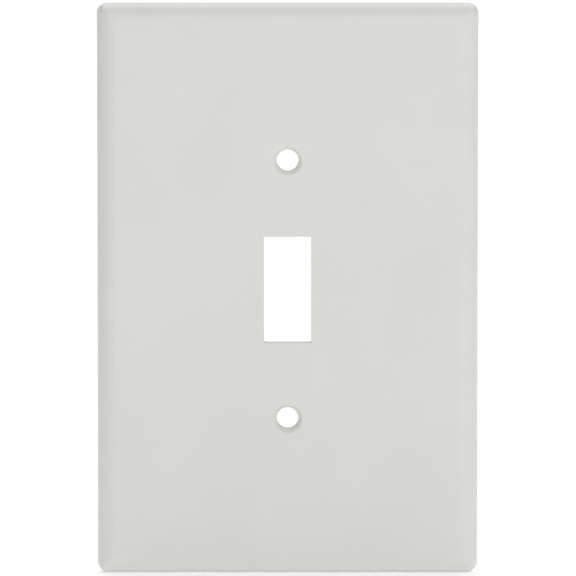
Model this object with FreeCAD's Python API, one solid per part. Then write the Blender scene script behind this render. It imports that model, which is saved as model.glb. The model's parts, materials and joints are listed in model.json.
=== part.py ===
import FreeCAD, Part
import math
import os

# Oversize single-gang wall plate for a toggle switch, with its two mounting screws.
#
# The plate is one hollow moulding, open at the back. Until it is fitted, its two screws are
# carried in snap keepers on its back, so both screw holes are empty.
#
# Frame, in millimetres: the origin is the centre of the plane where the rim meets the wall, +Z is
# up the wall and +Y goes into the wall, so the front face looks along -Y.

# ---- Plate shell -------------------------------------------------------------------------------
PLATE_WIDTH = 88.9
PLATE_HEIGHT = 133.35
PLATE_DEPTH = 6.35
FACE_WALL = 2.3  # thickness of the front wall
RIM_WALL = 2.0  # thickness of the side walls
EDGE_ROLL_RADIUS = 4.6  # the front edges roll over with this radius
CORNER_RADIUS = 2.4  # plan radius of the four outer corners
CAVITY_CORNER_RADIUS = 1.2  # plan radius of the four inner corners
RIM_EDGE_RADIUS = 0.25  # softens the edges of the rim that meets the wall

# ---- Toggle slot and the collar round it -------------------------------------------------------
SLOT_WIDTH = 11.0
SLOT_HEIGHT = 24.8
SLOT_CORNER_RADIUS = 0.35
SLOT_EDGE_RADIUS = 0.15  # softens the slot's edge on the front face
COLLAR_WALL = 1.5
COLLAR_RISE = 1.5  # how far the collar stands behind the front wall

# ---- Mounting screws: 6-32, half an inch long, slotted oval head -------------------------------
SCREW_SPACING = 60.325
SCREW_MAJOR_DIAMETER = 3.505
SCREW_PITCH = 0.79375
SCREW_THREAD_DEPTH = 0.487
SCREW_LENGTH = 12.7  # from the widest part of the head to the tip
SCREW_PLAIN_NECK = 0.8  # unthreaded shank under the head
SCREW_TIP_CHAMFER = 0.5
HEAD_DIAMETER = 6.35
HEAD_DOME_HEIGHT = 1.1
HEAD_EDGE_BAND = 0.15  # straight band at the widest part of the head
HEAD_CONE_HALF_ANGLE = 41.0
DRIVE_SLOT_WIDTH = 1.1
DRIVE_SLOT_DEPTH = 1.45  # below the top of the dome

# ---- Screw holes and the bosses round them -----------------------------------------------------
HOLE_CLEARANCE = 0.8  # radial, round the thread
COUNTERSINK_CLEARANCE = 0.22  # radial, round the head
BOSS_WALL = 2.6
STRAP_STAND_OUT = 1.6  # the switch's strap stands this far out of the wall, under the bosses

# ---- Stiffening ribs ---------------------------------------------------------------------------
RIB_WALL = 1.2
RIB_EDGE_RADIUS = 0.3
FRAME_RIB_SIDE_MARGIN = 15.5  # clear gap between the frame rib and the rim, at each side
FRAME_RIB_END_MARGIN = 7.0  # and at the top and the bottom
FRAME_RIB_DROP = 0.6  # the frame rib stops this far short of the wall plane
INNER_TIE_RIB_DROP = 2.0  # and so do the ribs from the bosses to the frame rib
OUTER_TIE_RIB_DROP = 1.0  # and those from the frame rib to the rim

# ---- Keepers that carry the screws -------------------------------------------------------------
KEEPER_LENGTH = 5.0
KEEPER_WALL = 1.05  # thickness of each arm beside the bore
KEEPER_DROP = 0.4  # the arms stop this far short of the wall plane
KEEPER_BORE_CLEARANCE = 0.04  # radial, round the thread
KEEPER_SNAP = 0.05  # how far each lip stands inside the thread's radius
KEEPER_LEAD_IN = 0.14  # height of the flare above the lips
KEEPER_SEAT_GAP = 0.1  # between the head's cone and the keeper's upper end
HEAD_TROUGH_CLEARANCE = 0.12  # radial, round the head in the trough that it slides along
HEAD_TROUGH_OVERRUN = 1.0  # the trough ends this far past the head of a screw drawn right out

# ---- Construction ------------------------------------------------------------------------------
ROOT_SINK = 0.6  # a rib or boss is sunk this far into what it grows from, so that they fuse
CUT_OVERRUN = 1.0  # a cutting tool runs this far past the face that it opens

# ---- Worked out from the sizes above -----------------------------------------------------------
FRONT_Y = -PLATE_DEPTH
FLOOR_Y = FRONT_Y + FACE_WALL  # the cavity's floor, at the back of the front wall
ROOT_Y = FLOOR_Y - ROOT_SINK
INNER_HALF_WIDTH = PLATE_WIDTH / 2 - RIM_WALL
INNER_HALF_HEIGHT = PLATE_HEIGHT / 2 - RIM_WALL

THREAD_RADIUS = SCREW_MAJOR_DIAMETER / 2
HEAD_RADIUS = HEAD_DIAMETER / 2
HEAD_CONE_SLOPE = math.tan(math.radians(HEAD_CONE_HALF_ANGLE))
HEAD_CONE_HEIGHT = (HEAD_RADIUS - THREAD_RADIUS) / HEAD_CONE_SLOPE

HOLE_RADIUS = THREAD_RADIUS + HOLE_CLEARANCE
COUNTERSINK_RADIUS = HEAD_RADIUS + COUNTERSINK_CLEARANCE
COUNTERSINK_DEPTH = (COUNTERSINK_RADIUS - HOLE_RADIUS) / HEAD_CONE_SLOPE
BOSS_RADIUS = HOLE_RADIUS + BOSS_WALL
HOLE_HEIGHTS = (SCREW_SPACING / 2, -SCREW_SPACING / 2)

FRAME_RIB_HALF_WIDTH = INNER_HALF_WIDTH - FRAME_RIB_SIDE_MARGIN
FRAME_RIB_HALF_HEIGHT = INNER_HALF_HEIGHT - FRAME_RIB_END_MARGIN

KEEPER_X = (INNER_HALF_WIDTH + FRAME_RIB_HALF_WIDTH) / 2  # midway from the frame rib to the rim
KEEPER_BORE_RADIUS = THREAD_RADIUS + KEEPER_BORE_CLEARANCE
KEEPER_THROAT_HALF = THREAD_RADIUS - KEEPER_SNAP
KEEPER_THROAT_Y = -KEEPER_DROP - KEEPER_LEAD_IN
KEEPER_AXIS_Y = KEEPER_THROAT_Y - math.sqrt(KEEPER_BORE_RADIUS**2 - KEEPER_THROAT_HALF**2)

SCREW_HEAD_Z = (SCREW_LENGTH - HEAD_DOME_HEIGHT) / 2  # the widest part of a carried screw's head
SCREW_NECK_Z = SCREW_HEAD_Z - HEAD_EDGE_BAND - HEAD_CONE_HEIGHT  # where its shank begins
SCREW_TOP_Z = SCREW_HEAD_Z + HEAD_DOME_HEIGHT
SCREW_TIP_Z = SCREW_HEAD_Z - SCREW_LENGTH
KEEPER_UPPER_Z = SCREW_NECK_Z - KEEPER_SEAT_GAP
SCREW_TRAVEL = KEEPER_UPPER_Z - SCREW_TIP_Z  # drawn up this far, its tip leaves the keeper


def block(half_x, half_z, y_from, y_to, x=0.0, z=0.0):
    """A box centred on (x, z) that runs from y_from to y_to."""
    corner = FreeCAD.Vector(x - half_x, y_from, z - half_z)
    return Part.makeBox(2 * half_x, y_to - y_from, 2 * half_z, corner)


def filleted(shape, radius, wanted):
    """The shape with a fillet on each edge for which wanted(edge) is true."""
    return shape.makeFillet(radius, [edge for edge in shape.Edges if wanted(edge)])


def runs_through_depth(edge):
    """True for an edge whose ends lie at different depths, along a wall or over a mitre."""
    return abs(edge.Vertexes[0].Y - edge.Vertexes[-1].Y) > 1e-3


def lies_at(y):
    """A test for edges that lie in the plane at depth y."""
    return lambda edge: max(abs(edge.BoundBox.YMin - y), abs(edge.BoundBox.YMax - y)) < 1e-3


def is_slot_front_edge(edge):
    """True for the edges of the toggle slot that lie on the front face."""
    reach_x = max(abs(vertex.X) for vertex in edge.Vertexes)
    reach_z = max(abs(vertex.Z) for vertex in edge.Vertexes)
    in_slot = reach_x < SLOT_WIDTH / 2 + 1e-3 and reach_z < SLOT_HEIGHT / 2 + 1e-3
    return lies_at(FRONT_Y)(edge) and in_slot


def rolled_block(half_x, half_z, y_from, roll, corner):
    """A block up to the wall plane, with rolled front edges and corners rounded in plan."""
    whole = block(half_x, half_z, y_from, 0)
    rolled = filleted(whole, roll, lies_at(y_from))
    return filleted(rolled, corner, runs_through_depth)


def shell():
    """The hollow plate before its holes, ribs and bosses."""
    outside = rolled_block(
        PLATE_WIDTH / 2, PLATE_HEIGHT / 2, FRONT_Y, EDGE_ROLL_RADIUS, CORNER_RADIUS
    )
    inner_roll = max(EDGE_ROLL_RADIUS - FACE_WALL, RIB_EDGE_RADIUS)
    cavity = rolled_block(
        INNER_HALF_WIDTH, INNER_HALF_HEIGHT, FLOOR_Y, inner_roll, CAVITY_CORNER_RADIUS
    )
    return filleted(outside.cut(cavity), RIM_EDGE_RADIUS, lies_at(0))


def toggle_collar():
    """The raised frame round the toggle slot, behind the front wall."""
    top = FLOOR_Y + COLLAR_RISE
    collar = block(SLOT_WIDTH / 2 + COLLAR_WALL, SLOT_HEIGHT / 2 + COLLAR_WALL, ROOT_Y, top)
    collar = filleted(collar, COLLAR_WALL, runs_through_depth)
    return filleted(collar, RIB_EDGE_RADIUS, lies_at(top))


def toggle_slot():
    """The tool that opens the toggle slot through the front wall and the collar."""
    back_y = FLOOR_Y + COLLAR_RISE + CUT_OVERRUN
    opening = block(SLOT_WIDTH / 2, SLOT_HEIGHT / 2, FRONT_Y - CUT_OVERRUN, back_y)
    return filleted(opening, SLOT_CORNER_RADIUS, runs_through_depth)


def screw_boss(z):
    """The round boss behind a screw hole, which bears on the switch's strap."""
    top = -STRAP_STAND_OUT
    boss = Part.makeCylinder(
        BOSS_RADIUS, top - ROOT_Y, FreeCAD.Vector(0, ROOT_Y, z), FreeCAD.Vector(0, 1, 0)
    )
    return filleted(boss, RIB_EDGE_RADIUS, lies_at(top))


def screw_hole(z):
    """The tool that drills a screw hole and countersinks it from the front."""
    mouth_radius = COUNTERSINK_RADIUS + CUT_OVERRUN * HEAD_CONE_SLOPE
    outline = [
        FreeCAD.Vector(0, FRONT_Y - CUT_OVERRUN, z),
        FreeCAD.Vector(mouth_radius, FRONT_Y - CUT_OVERRUN, z),
        FreeCAD.Vector(HOLE_RADIUS, FRONT_Y + COUNTERSINK_DEPTH, z),
        FreeCAD.Vector(HOLE_RADIUS, CUT_OVERRUN, z),
        FreeCAD.Vector(0, CUT_OVERRUN, z),
    ]
    half_section = Part.Face(Part.makePolygon([*outline, outline[0]]))
    return half_section.revolve(FreeCAD.Vector(0, 0, z), FreeCAD.Vector(0, 1, 0), 360)


def frame_rib():
    """The rectangular rib that runs round the plate, outside the space for the switch's strap."""
    top = -FRAME_RIB_DROP
    outer = block(FRAME_RIB_HALF_WIDTH, FRAME_RIB_HALF_HEIGHT, ROOT_Y, top)
    inner = block(FRAME_RIB_HALF_WIDTH - RIB_WALL, FRAME_RIB_HALF_HEIGHT - RIB_WALL, ROOT_Y, top)
    return filleted(outer.cut(inner), RIB_EDGE_RADIUS, lies_at(top))


def tie_rib(x_from, x_to, z, drop):
    """A straight rib along X at height z, which stops short of the wall plane by drop."""
    half_length = abs(x_to - x_from) / 2
    rib = block(half_length, RIB_WALL / 2, ROOT_Y, -drop, (x_from + x_to) / 2, z)
    along_top = lies_at(-drop)
    return filleted(
        rib, RIB_EDGE_RADIUS, lambda edge: along_top(edge) and edge.BoundBox.XLength > RIB_WALL
    )


def tie_ribs():
    """The ribs level with the screw holes: boss to frame rib and frame rib to rim, each side."""
    boss_x = BOSS_RADIUS - ROOT_SINK
    frame_x = FRAME_RIB_HALF_WIDTH - RIB_WALL / 2
    rim_x = INNER_HALF_WIDTH + ROOT_SINK
    ribs = []
    for z in HOLE_HEIGHTS:
        for side in (-1, 1):
            ribs.append(tie_rib(side * boss_x, side * frame_x, z, INNER_TIE_RIB_DROP))
            ribs.append(tie_rib(side * frame_x, side * rim_x, z, OUTER_TIE_RIB_DROP))
    return ribs


def screw_keeper(x):
    """A snap clip, open towards the wall, that holds a screw upright by its thread."""
    half_x = KEEPER_BORE_RADIUS + KEEPER_WALL
    middle_z = KEEPER_UPPER_Z - KEEPER_LENGTH / 2
    clip = block(half_x, KEEPER_LENGTH / 2, ROOT_Y, -KEEPER_DROP, x, middle_z)
    clip = filleted(clip, RIB_EDGE_RADIUS, runs_through_depth)
    along_z = FreeCAD.Vector(0, 0, 1)
    start_z = KEEPER_UPPER_Z - KEEPER_LENGTH - CUT_OVERRUN
    run = KEEPER_LENGTH + 2 * CUT_OVERRUN
    bore = Part.makeCylinder(
        KEEPER_BORE_RADIUS, run, FreeCAD.Vector(x, KEEPER_AXIS_Y, start_z), along_z
    )
    flare_half = KEEPER_THROAT_HALF + KEEPER_LEAD_IN + CUT_OVERRUN
    outline = [
        FreeCAD.Vector(x - KEEPER_THROAT_HALF, KEEPER_AXIS_Y, start_z),
        FreeCAD.Vector(x + KEEPER_THROAT_HALF, KEEPER_AXIS_Y, start_z),
        FreeCAD.Vector(x + KEEPER_THROAT_HALF, KEEPER_THROAT_Y, start_z),
        FreeCAD.Vector(x + flare_half, CUT_OVERRUN - KEEPER_DROP, start_z),
        FreeCAD.Vector(x - flare_half, CUT_OVERRUN - KEEPER_DROP, start_z),
        FreeCAD.Vector(x - KEEPER_THROAT_HALF, KEEPER_THROAT_Y, start_z),
    ]
    mouth = Part.Face(Part.makePolygon([*outline, outline[0]])).extrude(along_z * run)
    return clip.cut([bore, mouth])


def head_trough(x):
    """The tool for the shallow trough in the front wall that clears a screw's head as it slides."""
    end_z = SCREW_TOP_Z + SCREW_TRAVEL + HEAD_TROUGH_OVERRUN
    return Part.makeCylinder(
        HEAD_RADIUS + HEAD_TROUGH_CLEARANCE,
        end_z - KEEPER_UPPER_Z,
        FreeCAD.Vector(x, KEEPER_AXIS_Y, KEEPER_UPPER_Z),
        FreeCAD.Vector(0, 0, 1),
    )


def wall_plate():
    """The whole moulding."""
    sides = (-KEEPER_X, KEEPER_X)
    raised = [toggle_collar(), frame_rib(), *tie_ribs()]
    raised += [screw_boss(z) for z in HOLE_HEIGHTS] + [screw_keeper(x) for x in sides]
    cut = [toggle_slot()] + [screw_hole(z) for z in HOLE_HEIGHTS] + [head_trough(x) for x in sides]
    plate = shell().fuse(raised).cut(cut).removeSplitter()
    return filleted(plate, SLOT_EDGE_RADIUS, is_slot_front_edge)


def thread_outline():
    """Points down the thread, from the neck to the axis, as (radius, distance below the neck)."""
    flat = SCREW_PITCH / 8  # width of each crest and each root
    flank = (SCREW_PITCH - 2 * flat) / 2
    root = THREAD_RADIUS - SCREW_THREAD_DEPTH
    shank = SCREW_NECK_Z - SCREW_TIP_Z
    points = [(THREAD_RADIUS, 0.0)]
    below = SCREW_PLAIN_NECK
    while below + SCREW_PITCH < shank - SCREW_TIP_CHAMFER:
        points.append((THREAD_RADIUS, below))
        points.append((root, below + flank))
        points.append((root, below + flank + flat))
        points.append((THREAD_RADIUS, below + SCREW_PITCH - flat))
        below += SCREW_PITCH
    points.append((THREAD_RADIUS, shank - SCREW_TIP_CHAMFER))
    points.append((THREAD_RADIUS - SCREW_TIP_CHAMFER, shank))
    points.append((0.0, shank))
    return points


def head_dome():
    """The arc over the head, from the middle of its top to its widest part."""
    radius = (HEAD_RADIUS**2 + HEAD_DOME_HEIGHT**2) / (2 * HEAD_DOME_HEIGHT)
    half_angle = math.asin(HEAD_RADIUS / radius) / 2
    middle_z = SCREW_TOP_Z - radius * (1 - math.cos(half_angle))
    return Part.Arc(
        FreeCAD.Vector(0, 0, SCREW_TOP_Z),
        FreeCAD.Vector(radius * math.sin(half_angle), 0, middle_z),
        FreeCAD.Vector(HEAD_RADIUS, 0, SCREW_HEAD_Z),
    ).toShape()


def mounting_screw(x):
    """A slotted oval-head screw, head up, where its keeper carries it."""
    side = [(HEAD_RADIUS, SCREW_HEAD_Z), (HEAD_RADIUS, SCREW_HEAD_Z - HEAD_EDGE_BAND)]
    side += [(radius, SCREW_NECK_Z - below) for radius, below in thread_outline()]
    side.append((0.0, SCREW_TOP_Z))
    outline = Part.makePolygon([FreeCAD.Vector(radius, 0, z) for radius, z in side])
    half_section = Part.Face(Part.Wire([head_dome(), *outline.Edges]))
    screw = half_section.revolve(FreeCAD.Vector(0, 0, 0), FreeCAD.Vector(0, 0, 1), 360)
    drive_slot = Part.makeBox(
        2 * HEAD_DIAMETER,
        DRIVE_SLOT_WIDTH,
        HEAD_DIAMETER,
        FreeCAD.Vector(-HEAD_DIAMETER, -DRIVE_SLOT_WIDTH / 2, SCREW_TOP_Z - DRIVE_SLOT_DEPTH),
    )
    screw = screw.cut(drive_slot)
    screw.translate(FreeCAD.Vector(x, KEEPER_AXIS_Y, 0))
    return screw


def main():
    """Builds each piece, checks it and writes it to parts/."""
    os.makedirs("parts", exist_ok=True)
    pieces = {
        "wall_plate": wall_plate(),
        "left_mounting_screw": mounting_screw(-KEEPER_X),
        "right_mounting_screw": mounting_screw(KEEPER_X),
    }
    for name, shape in pieces.items():
        solid = shape.Solids[0]
        if len(shape.Solids) != 1 or not solid.isValid() or solid.Volume <= 0:
            raise SystemExit(f"{name} is not one sound solid")
        solid.exportStep(f"parts/{name}.step")
        print(f"{name}: {solid.Volume:.1f} mm3")
    print(f"a screw slides {SCREW_TRAVEL:.2f} mm up its keeper")


main()
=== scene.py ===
"""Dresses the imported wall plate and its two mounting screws, and sets a plain studio round them.

The plate is one compression moulding with rolled edges, a toggle slot and two countersunk screw
holes. Its screws ride in snap keepers on its back. Sizes are written in millimetres, and every
piece is built in metres in the frame's own axes: +Z up the wall, +Y into the wall.
"""

import json
import logging
import math
from collections.abc import Callable, Iterable, Sequence
from dataclasses import dataclass, field
from enum import Enum
from typing import Any

import bmesh
import bpy
from mathutils import Matrix, Vector


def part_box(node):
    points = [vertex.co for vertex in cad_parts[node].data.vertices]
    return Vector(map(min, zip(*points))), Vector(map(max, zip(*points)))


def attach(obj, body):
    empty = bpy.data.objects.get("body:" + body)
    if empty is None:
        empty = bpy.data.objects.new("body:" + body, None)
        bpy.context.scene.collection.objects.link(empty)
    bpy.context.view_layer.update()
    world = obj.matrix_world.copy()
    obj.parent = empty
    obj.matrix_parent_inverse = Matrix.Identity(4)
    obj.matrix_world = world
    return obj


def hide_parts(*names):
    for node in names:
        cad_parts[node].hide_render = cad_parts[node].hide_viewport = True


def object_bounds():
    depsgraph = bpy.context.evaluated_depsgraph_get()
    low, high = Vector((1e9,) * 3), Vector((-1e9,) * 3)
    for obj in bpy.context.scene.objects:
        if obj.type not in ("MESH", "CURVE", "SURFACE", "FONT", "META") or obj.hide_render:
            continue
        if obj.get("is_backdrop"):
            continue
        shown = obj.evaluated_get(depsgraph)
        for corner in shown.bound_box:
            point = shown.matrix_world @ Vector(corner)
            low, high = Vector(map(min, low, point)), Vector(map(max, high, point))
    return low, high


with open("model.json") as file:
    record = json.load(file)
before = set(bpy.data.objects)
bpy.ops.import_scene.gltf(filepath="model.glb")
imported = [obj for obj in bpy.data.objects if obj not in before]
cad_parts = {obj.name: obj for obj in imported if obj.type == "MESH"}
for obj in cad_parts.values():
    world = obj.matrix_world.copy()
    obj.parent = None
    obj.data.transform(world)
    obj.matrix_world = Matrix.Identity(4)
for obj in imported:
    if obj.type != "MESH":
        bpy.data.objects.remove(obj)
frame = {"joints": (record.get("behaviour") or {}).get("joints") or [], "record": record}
CAD_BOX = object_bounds()

LOG = logging.getLogger("wall_plate")
MM = 0.001
MERGE_GAP = 0.0005 * MM  # points nearer than this are one point
SLIVER = 0.0002 * MM  # edges shorter than this are dissolved
ACROSS = Vector((1, 0, 0))
INWARD = Vector((0, 1, 0))
UP = Vector((0, 0, 1))

Ring = list[Vector]
Outline = Iterable[tuple[float, float]]
Solid = bmesh.types.BMesh
Made = bpy.types.Object
Material = bpy.types.Material
Tree = bpy.types.NodeTree
Node = bpy.types.Node
Socket = bpy.types.NodeSocket
Span = tuple[Socket, Socket]


class Skin(Enum):
    """Which finish a face of the moulding has, as its material index."""

    POLISHED = 0
    SATIN = 1


class Join(Enum):
    """How a part is combined with the solid that it is brought to."""

    ADD = "UNION"
    CUT = "DIFFERENCE"


# ---- Node trees --------------------------------------------------------------------------------


def feed(tree: Tree, node: Node, inputs: dict[str | int, Any]) -> None:
    """Sets and links a node's inputs.

    Args:
        tree: The tree that it is in.
        node: The node.
        inputs: What each input takes, by name or by place: a value, or the socket that feeds it.
    """
    for key, value in inputs.items():
        if isinstance(value, Socket):
            tree.links.new(value, node.inputs[key])
        else:
            node.inputs[key].default_value = value


def add_node(tree: Tree, kind: str, inputs: dict[str | int, Any], **settings: Any) -> Node:
    """Adds one node to a tree, sets it and links it.

    Args:
        tree: The shader or geometry tree.
        kind: The node's Blender type name.
        inputs: What each input takes, as in feed.
        **settings: The node's own properties, such as operation or mode.

    Returns:
        The new node.
    """
    node = tree.nodes.new(kind)
    for key, value in settings.items():
        setattr(node, key, value)
    feed(tree, node, inputs)
    return node


def linear_colour(hex_code: str) -> tuple[float, float, float, float]:
    """Turns an sRGB hex colour into the linear RGBA that sockets take.

    Args:
        hex_code: Six hex digits after a hash sign.

    Returns:
        The linear colour, with alpha 1.
    """
    shares = [int(hex_code[start : start + 2], 16) / 255 for start in (1, 3, 5)]
    red, green, blue = (
        share / 12.92 if share <= 0.04045 else ((share + 0.055) / 1.055) ** 2.4 for share in shares
    )
    return red, green, blue, 1.0


# ---- Finishes ----------------------------------------------------------------------------------


@dataclass(frozen=True)
class Finish:
    """A surface finish. Its patterns are sized in the object's own millimetres."""

    name: str

    def build(self) -> Material:
        """Makes the material."""
        material = bpy.data.materials.new(self.name)
        material.use_nodes = True
        tree = material.node_tree
        place = add_node(tree, "ShaderNodeTexCoord", {}).outputs["Object"]
        self.dress(tree, tree.nodes["Principled BSDF"], place)
        return material

    def dress(self, tree: Tree, shader: Node, place: Socket) -> None:
        """Sets and links the shader. Each finish has its own way.

        Args:
            tree: The material's tree.
            shader: Its shader.
            place: The object coordinate that the patterns read.
        """
        raise NotImplementedError

    @staticmethod
    def per_metre(spacing: float) -> float:
        """The noise scale at which features are spacing millimetres apart."""
        return 1 / (spacing * MM)


@dataclass(frozen=True)
class MouldedThermoset(Finish):
    """Urea-formaldehyde, compression-moulded in a steel die, in an off-white body colour.

    The die's polish gives a soft gloss over a slow, barely visible ripple. The powder that it is
    pressed from leaves faint clouds of warmer and cooler white.
    """

    name: str = "compression_moulded_urea_polished"
    colour: str = "#E2E1DD"
    cloud_colour: str = "#DCDBD6"
    cloud_size: float = 22.0  # mm across one cloud of the pressed powder
    roughness: float = 0.34
    roughness_swing: float = 0.05
    ripple_spacing: float = 2.6  # mm between the ripples that die polishing leaves
    ripple_height: float = 0.0016
    grain_spacing: float = 0.45  # mm; the real grain is finer, drawn as coarse as it needs to show
    grain_height: float = 0.0006
    refraction: float = 1.54

    def dress(self, tree: Tree, shader: Node, place: Socket) -> None:
        """Clouds the colour, and gives the gloss a grain over a ripple.

        Args:
            tree: The material's tree.
            shader: Its shader.
            place: The object coordinate that the patterns read.
        """
        noise = "ShaderNodeTexNoise"
        clouds = {"Vector": place, "Scale": self.per_metre(self.cloud_size), "Detail": 4.0}
        ripple = {"Vector": place, "Scale": self.per_metre(self.ripple_spacing), "Detail": 2.0}
        grain = {"Vector": place, "Scale": self.per_metre(self.grain_spacing), "Detail": 2.0}
        grain_value = add_node(tree, noise, grain).outputs[0]
        tones = {
            0: add_node(tree, noise, clouds).outputs[0],
            6: linear_colour(self.colour),
            7: linear_colour(self.cloud_colour),
        }
        gloss = {
            "Value": grain_value,
            "To Min": self.roughness - self.roughness_swing,
            "To Max": self.roughness + self.roughness_swing,
        }
        rippled = {
            "Height": add_node(tree, noise, ripple).outputs[0],
            "Distance": self.ripple_height * MM,
        }
        grained = {
            "Height": grain_value,
            "Distance": self.grain_height * MM,
            "Normal": add_node(tree, "ShaderNodeBump", rippled).outputs["Normal"],
        }
        looks = {
            "IOR": self.refraction,
            "Base Color": add_node(tree, "ShaderNodeMix", tones, data_type="RGBA").outputs[2],
            "Roughness": add_node(tree, "ShaderNodeMapRange", gloss).outputs["Result"],
            "Normal": add_node(tree, "ShaderNodeBump", grained).outputs["Normal"],
        }
        feed(tree, shader, looks)


@dataclass(frozen=True)
class BakedEnamel(Finish):
    """Sprayed and baked off-white enamel on a screw's head, to match the plate.

    It is glossier than the plate and has a slight orange peel. It is rubbed thin along the lips
    of the drive slot, where the zinc under it shows as grey.
    """

    name: str = "baked_enamel_screw_head"
    slot_y: float = 0.0  # metres, the middle of the drive slot
    slot_width: float = 0.0
    colour: str = "#DEDED8"
    worn_colour: str = "#A3A5A4"
    roughness: float = 0.22
    peel_spacing: float = 0.7  # mm across one dimple of the orange peel
    peel_height: float = 0.003
    wear_reach: float = 0.16  # mm from the slot's lip to where the enamel is whole
    wear_spacing: float = 0.5  # mm from one rubbed patch to the next

    def dress(self, tree: Tree, shader: Node, place: Socket) -> None:
        """Dimples the enamel, and wears it along the drive slot's lips.

        Args:
            tree: The material's tree.
            shader: Its shader.
            place: The object coordinate that the patterns read.
        """
        noise, arithmetic = "ShaderNodeTexNoise", "ShaderNodeMath"
        depth = add_node(tree, "ShaderNodeSeparateXYZ", {0: place}).outputs["Y"]
        offset = add_node(tree, arithmetic, {0: depth, 1: self.slot_y}, operation="SUBTRACT")
        from_middle = add_node(tree, arithmetic, {0: offset.outputs[0]}, operation="ABSOLUTE")
        from_lip = {0: from_middle.outputs[0], 1: self.slot_width / 2}
        near_lip = add_node(tree, arithmetic, from_lip, operation="SUBTRACT")
        patches = {"Vector": place, "Scale": self.per_metre(self.wear_spacing)}
        broken = add_node(tree, noise, patches).outputs[0]
        reach = {"Value": near_lip.outputs[0], "From Max": self.wear_reach * MM, "To Min": 1.0}
        rubbed = add_node(tree, "ShaderNodeMapRange", {**reach, "To Max": 0.0}).outputs["Result"]
        wear = add_node(tree, arithmetic, {0: rubbed, 1: broken}, operation="MULTIPLY").outputs[0]
        tones = {0: wear, 6: linear_colour(self.colour), 7: linear_colour(self.worn_colour)}
        peel = {"Vector": place, "Scale": self.per_metre(self.peel_spacing)}
        dimples = {
            "Height": add_node(tree, noise, peel).outputs[0],
            "Distance": self.peel_height * MM,
        }
        looks = {
            "Roughness": self.roughness,
            "Base Color": add_node(tree, "ShaderNodeMix", tones, data_type="RGBA").outputs[2],
            "Normal": add_node(tree, "ShaderNodeBump", dimples).outputs["Normal"],
        }
        feed(tree, shader, looks)


@dataclass(frozen=True)
class ZincPlate(Finish):
    """Bright zinc electroplate on a rolled steel thread: a cool grey metal, slightly milky.

    The thin passivation over it drifts between blue and straw, and the plating builds up
    unevenly, so its gloss is patchy.
    """

    name: str = "zinc_plated_screw_thread"
    colour: str = "#C3C7CC"
    tint_colour: str = "#C9C3AE"
    roughness: float = 0.30
    roughness_swing: float = 0.10
    patch_size: float = 1.8  # mm across one patch of tint
    grain_spacing: float = 0.12  # mm; the real crystals are finer, drawn coarser so they show
    grain_height: float = 0.0015

    def dress(self, tree: Tree, shader: Node, place: Socket) -> None:
        """Tints the metal in patches, and gives it a crystal grain.

        Args:
            tree: The material's tree.
            shader: Its shader.
            place: The object coordinate that the patterns read.
        """
        noise = "ShaderNodeTexNoise"
        patches = {"Vector": place, "Scale": self.per_metre(self.patch_size), "Detail": 3.0}
        patch = add_node(tree, noise, patches).outputs[0]
        tones = {0: patch, 6: linear_colour(self.colour), 7: linear_colour(self.tint_colour)}
        gloss = {
            "Value": patch,
            "To Min": self.roughness - self.roughness_swing,
            "To Max": self.roughness + self.roughness_swing,
        }
        grain = {"Vector": place, "Scale": self.per_metre(self.grain_spacing)}
        grained = {
            "Height": add_node(tree, noise, grain).outputs[0],
            "Distance": self.grain_height * MM,
        }
        looks = {
            "Metallic": 1.0,
            "Base Color": add_node(tree, "ShaderNodeMix", tones, data_type="RGBA").outputs[2],
            "Roughness": add_node(tree, "ShaderNodeMapRange", gloss).outputs["Result"],
            "Normal": add_node(tree, "ShaderNodeBump", grained).outputs["Normal"],
        }
        feed(tree, shader, looks)


@dataclass(frozen=True)
class LightTable(Finish):
    """White opal acrylic, cast and lit from below: matt, pale, and glowing faintly.

    The glow whitens it out to its far edge and fills the shade under the plate.
    """

    name: str = "opal_acrylic_light_table"
    colour: str = "#FAFAF9"
    roughness: float = 0.75
    glow: float = 0.26
    tooth_spacing: float = 3.0  # mm; the real tooth is finer, drawn as coarse as it needs to show
    tooth_height: float = 0.01

    def dress(self, tree: Tree, shader: Node, place: Socket) -> None:
        """Gives the acrylic its tooth and its glow.

        Args:
            tree: The material's tree.
            shader: Its shader.
            place: The object coordinate that the pattern reads.
        """
        tooth = {"Vector": place, "Scale": self.per_metre(self.tooth_spacing)}
        raised = {
            "Height": add_node(tree, "ShaderNodeTexNoise", tooth).outputs[0],
            "Distance": self.tooth_height * MM,
        }
        looks = {
            "Base Color": linear_colour(self.colour),
            "Roughness": self.roughness,
            "Emission Color": linear_colour(self.colour),
            "Emission Strength": self.glow,
            "Normal": add_node(tree, "ShaderNodeBump", raised).outputs["Normal"],
        }
        feed(tree, shader, looks)


# ---- Mesh building -----------------------------------------------------------------------------


def quarter_turn(cuts: int) -> list[tuple[float, float]]:
    """The cosine and the sine of each step of a quarter turn, from 0 to 90 degrees."""
    angles = [math.pi / 2 * cut / cuts for cut in range(cuts + 1)]
    return [(math.cos(angle), math.sin(angle)) for angle in angles]


def rounded_rectangle(half_x: float, half_z: float, radius: float, y: float, cuts: int) -> Ring:
    """A rectangle with round corners, centred on the origin in the plane at depth y.

    Args:
        half_x: Half its width.
        half_z: Half its height.
        radius: Radius of its corners.
        y: Depth of its plane.
        cuts: Number of edges in each corner.

    Returns:
        Its points in order.
    """
    points = []
    for quarter, (side_x, side_z) in enumerate(((1, 1), (-1, 1), (-1, -1), (1, -1))):
        for step in range(cuts + 1):
            angle = math.radians(90 * (quarter + step / cuts))
            x = side_x * (half_x - radius) + radius * math.cos(angle)
            z = side_z * (half_z - radius) + radius * math.sin(angle)
            points.append(Vector((x, y, z)))
    return points


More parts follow.
